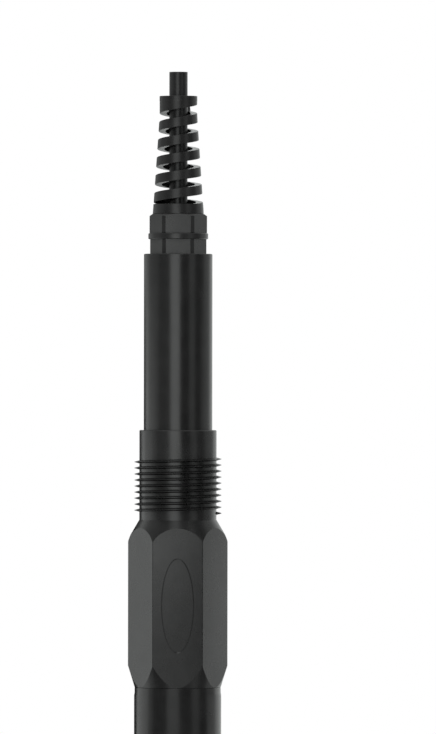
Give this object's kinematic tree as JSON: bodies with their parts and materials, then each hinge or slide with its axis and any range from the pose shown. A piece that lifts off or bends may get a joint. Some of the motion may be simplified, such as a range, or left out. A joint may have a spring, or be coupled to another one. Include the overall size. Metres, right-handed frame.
{
  "type": "nitrate ion sensor",
  "caption": "Slim upright ion sensor with a windowed guard at its tip, a long hexagon, a pipe thread, a plain rear tube and a spiral strain relief on its cable.",
  "frame": {"origin": "centre of the flat lower rim of the protective guard, on the sensor's axis", "axes": "+Z along the sensor's axis from the guard to the cable; the flat of the hexagon with the oval recess faces -Y"},
  "size_m": [0.03, 0.0262, 0.2967],
  "materials": {
    "housing_plastic": "satin near-black moulded and turned plastic",
    "gland_nylon": "near-black moulded nylon, satin",
    "seal_rubber": "black rubber, matt",
    "cable_jacket": "black flexible jacket, satin",
    "carrier_plastic": "dark grey plastic, satin",
    "electrode_plastic": "light grey plastic, satin",
    "membrane": "cream soft membrane",
    "junction_ceramic": "white porous ceramic, matt",
    "silver_wire": "dull silver wire",
    "sheath_steel": "fine brushed stainless steel",
    "thermistor_resin": "black resin",
    "board_laminate": "green solder mask on laminate",
    "chip_resin": "black moulding resin",
    "connector_plastic": "cream connector plastic",
    "lead_insulation": "grey wire insulation",
    "slip_ring_plastic": "natural white plastic",
    "core_red": "red wire insulation",
    "core_black": "black wire insulation",
    "core_blue": "blue wire insulation",
    "core_yellow": "yellow wire insulation"
  },
  "bodies": {
    "housing": {"main_body": "housing_plastic", "front_sleeve": "housing_plastic", "rear_tube": "housing_plastic", "protective_guard": "housing_plastic", "gland_body": "gland_nylon", "gland_seal": "seal_rubber", "gland_washer": "seal_rubber", "spigot_o_ring": "seal_rubber", "carrier_o_ring": "seal_rubber", "cable_jacket": "cable_jacket", "core_red": "core_red", "core_black": "core_black", "core_blue": "core_blue", "core_yellow": "core_yellow", "electrode_carrier": "carrier_plastic", "nitrate_electrode_body": "electrode_plastic", "nitrate_membrane_cap": "electrode_plastic", "nitrate_plug": "electrode_plastic", "nitrate_membrane": "membrane", "nitrate_silver_wire": "silver_wire", "reference_electrode_body": "electrode_plastic", "reference_plug": "electrode_plastic", "reference_junction": "junction_ceramic", "reference_silver_wire": "silver_wire", "temperature_sheath": "sheath_steel", "thermistor": "thermistor_resin", "circuit_board": "board_laminate", "amplifier_chip": "chip_resin", "processor_chip": "chip_resin", "driver_chip": "chip_resin", "electrode_connector": "connector_plastic", "cable_connector": "connector_plastic", "nitrate_lead": "lead_insulation", "reference_lead": "lead_insulation", "temperature_lead": "lead_insulation"},
    "slip_ring": {"slip_ring": "slip_ring_plastic"},
    "gland_nut": {"gland_nut": "gland_nylon"}
  },
  "joints": [
    {"name": "nut_rise", "type": "slide", "parent": "housing", "child": "slip_ring", "axis": [0, 0, 1], "range_m": [0, 0.003]},
    {"name": "nut_turn", "type": "hinge", "parent": "slip_ring", "child": "gland_nut", "pos_m": [0, 0, 0.251], "axis": [0, 0, 1], "range_deg": [0, 720]}
  ],
  "couplings": [
    {"joint": "nut_rise", "follows": "nut_turn", "m_per_rad": 0.00023873}
  ]
}
